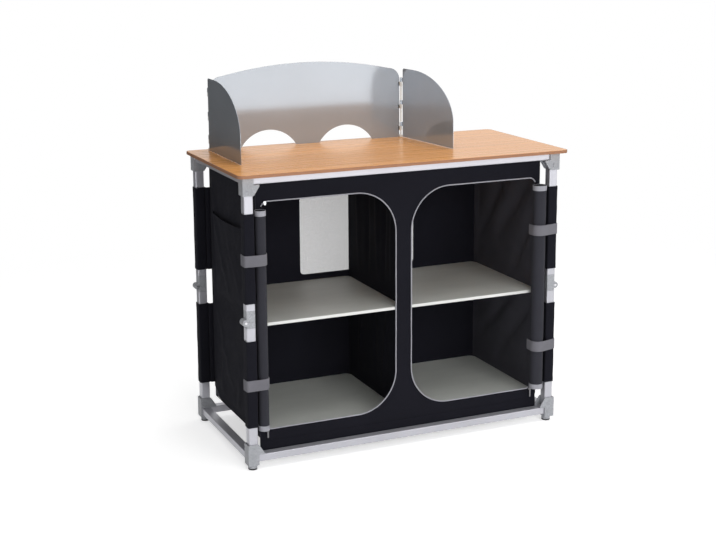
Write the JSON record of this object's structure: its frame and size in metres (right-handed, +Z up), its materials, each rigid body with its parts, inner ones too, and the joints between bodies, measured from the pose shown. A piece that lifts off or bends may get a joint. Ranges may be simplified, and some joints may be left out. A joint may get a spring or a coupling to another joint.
{
  "type": "camping cupboard",
  "caption": "Folding camping cupboard: aluminium table frame with a wood-look top, black fabric cupboard with rolled-up doors, and a folding windscreen.",
  "frame": {"origin": "on the floor, under the middle of the whole object's box", "axes": "+Z up, +X to the viewer's right along the long side, the front with the doors faces -Y"},
  "size_m": [0.976, 0.4686, 1.0353],
  "materials": {
    "aluminium_frame": "anodised satin",
    "windscreen_aluminium": "polished sheet",
    "grey_plastic": "moulded",
    "dark_rubber": "matte",
    "steel": "plain",
    "black_fabric": "coated woven polyester",
    "grey_fabric": "woven polyester",
    "grey_mesh": "open mesh",
    "wood_board": "wood-look laminate",
    "dark_edging": "edge band",
    "grey_board": "laminated board"
  },
  "bodies": {
    "base": {"bottom_rail_front": "aluminium_frame", "bottom_rail_rear": "aluminium_frame", "bottom_rail_left": "aluminium_frame", "bottom_rail_right": "aluminium_frame", "bottom_bracket_front_left": "grey_plastic", "foot_front_left": "dark_rubber", "bottom_bracket_front_right": "grey_plastic", "foot_front_right": "dark_rubber", "bottom_bracket_rear_left": "grey_plastic", "foot_rear_left": "dark_rubber", "bottom_bracket_rear_right": "grey_plastic", "foot_rear_right": "dark_rubber", "floor_shelf_left": "grey_board", "door_roll_left": "grey_fabric", "cabinet_left_wall": "black_fabric", "floor_shelf_right": "grey_board", "door_roll_right": "grey_fabric", "cabinet_right_wall": "black_fabric", "cabinet_front_panel": "black_fabric", "cabinet_back_and_floor": "black_fabric", "cabinet_divider": "black_fabric", "rear_mesh_window": "grey_mesh"},
    "top": {"top_rail_front": "aluminium_frame", "top_rail_rear": "aluminium_frame", "top_rail_left": "aluminium_frame", "top_rail_right": "aluminium_frame", "top_bracket_front_left": "grey_plastic", "top_bracket_front_right": "grey_plastic", "top_bracket_rear_left": "grey_plastic", "top_bracket_rear_right": "grey_plastic", "windscreen_rod_left": "steel", "windscreen_rod_right": "steel", "tabletop": "wood_board", "tabletop_edging": "dark_edging", "windscreen_rear": "windscreen_aluminium"},
    "middle_shelves": {"middle_shelf_left": "grey_board", "middle_shelf_right": "grey_board"},
    "windscreen_wing_left": {"windscreen_wing_left": "windscreen_aluminium"},
    "windscreen_wing_right": {"windscreen_wing_right": "windscreen_aluminium"},
    "leg_front_left_lower": {"lower_leg_tube_front_left": "aluminium_frame", "lower_knuckle_front_left": "grey_plastic", "knee_pin_front_left": "steel"},
    "leg_front_left_upper": {"upper_leg_tube_front_left": "aluminium_frame", "upper_knuckle_front_left": "grey_plastic"},
    "leg_front_right_lower": {"lower_leg_tube_front_right": "aluminium_frame", "lower_knuckle_front_right": "grey_plastic", "knee_pin_front_right": "steel"},
    "leg_front_right_upper": {"upper_leg_tube_front_right": "aluminium_frame", "upper_knuckle_front_right": "grey_plastic"},
    "leg_rear_left_lower": {"lower_leg_tube_rear_left": "aluminium_frame", "lower_knuckle_rear_left": "grey_plastic", "knee_pin_rear_left": "steel"},
    "leg_rear_left_upper": {"upper_leg_tube_rear_left": "aluminium_frame", "upper_knuckle_rear_left": "grey_plastic"},
    "leg_rear_right_lower": {"lower_leg_tube_rear_right": "aluminium_frame", "lower_knuckle_rear_right": "grey_plastic", "knee_pin_rear_right": "steel"},
    "leg_rear_right_upper": {"upper_leg_tube_rear_right": "aluminium_frame", "upper_knuckle_rear_right": "grey_plastic"}
  },
  "joints": [
    {"name": "fold", "type": "hinge", "parent": "base", "child": "leg_front_left_lower", "pos_m": [-0.4535, -0.19535, 0.058], "axis": [0, 1, 0], "range_deg": [0, 90], "deforming": ["cabinet_front_panel", "cabinet_left_wall", "cabinet_right_wall", "cabinet_back_and_floor", "cabinet_divider", "rear_mesh_window", "door_roll_left", "door_roll_right"]},
    {"name": "knee_front_left", "type": "hinge", "parent": "leg_front_left_lower", "child": "leg_front_left_upper", "pos_m": [-0.4675, -0.19535, 0.4066], "axis": [0, 1, 0], "range_deg": [-180, 0]},
    {"name": "lower_leg_front_right", "type": "hinge", "parent": "base", "child": "leg_front_right_lower", "pos_m": [0.4535, -0.19535, 0.058], "axis": [0, -1, 0], "range_deg": [0, 90]},
    {"name": "knee_front_right", "type": "hinge", "parent": "leg_front_right_lower", "child": "leg_front_right_upper", "pos_m": [0.4675, -0.19535, 0.4066], "axis": [0, -1, 0], "range_deg": [-180, 0]},
    {"name": "lower_leg_rear_left", "type": "hinge", "parent": "base", "child": "leg_rear_left_lower", "pos_m": [-0.4535, 0.21665, 0.058], "axis": [0, 1, 0], "range_deg": [0, 90]},
    {"name": "knee_rear_left", "type": "hinge", "parent": "leg_rear_left_lower", "child": "leg_rear_left_upper", "pos_m": [-0.4675, 0.21665, 0.4066], "axis": [0, 1, 0], "range_deg": [-180, 0]},
    {"name": "lower_leg_rear_right", "type": "hinge", "parent": "base", "child": "leg_rear_right_lower", "pos_m": [0.4535, 0.21665, 0.058], "axis": [0, -1, 0], "range_deg": [0, 90]},
    {"name": "knee_rear_right", "type": "hinge", "parent": "leg_rear_right_lower", "child": "leg_rear_right_upper", "pos_m": [0.4675, 0.21665, 0.4066], "axis": [0, -1, 0], "range_deg": [-180, 0]},
    {"name": "top_pivot", "type": "hinge", "parent": "leg_front_left_upper", "child": "top", "pos_m": [-0.4535, -0.19535, 0.7552], "axis": [0, 1, 0], "range_deg": [0, 90]},
    {"name": "middle_shelf_drop", "type": "slide", "parent": "base", "child": "middle_shelves", "axis": [0, 0, 1], "range_m": [-0.2955, 0]},
    {"name": "wing_left_swing", "type": "hinge", "parent": "top", "child": "windscreen_wing_left", "pos_m": [-0.424, 0.19465, 0.9], "axis": [0, 0, 1], "range_deg": [-90, 90]},
    {"name": "wing_right_swing", "type": "hinge", "parent": "top", "child": "windscreen_wing_right", "pos_m": [0.171, 0.19465, 0.9], "axis": [0, 0, 1], "range_deg": [-96, 84]}
  ],
  "couplings": [
    {"joint": "knee_front_left", "follows": "fold", "ratio": -2},
    {"joint": "lower_leg_front_right", "follows": "fold", "ratio": 1},
    {"joint": "knee_front_right", "follows": "fold", "ratio": -2},
    {"joint": "lower_leg_rear_left", "follows": "fold", "ratio": 1},
    {"joint": "knee_rear_left", "follows": "fold", "ratio": -2},
    {"joint": "lower_leg_rear_right", "follows": "fold", "ratio": 1},
    {"joint": "knee_rear_right", "follows": "fold", "ratio": -2},
    {"joint": "top_pivot", "follows": "fold", "ratio": 1},
    {"joint": "middle_shelf_drop", "follows": "fold", "m_per_rad": -0.18768}
  ]
}
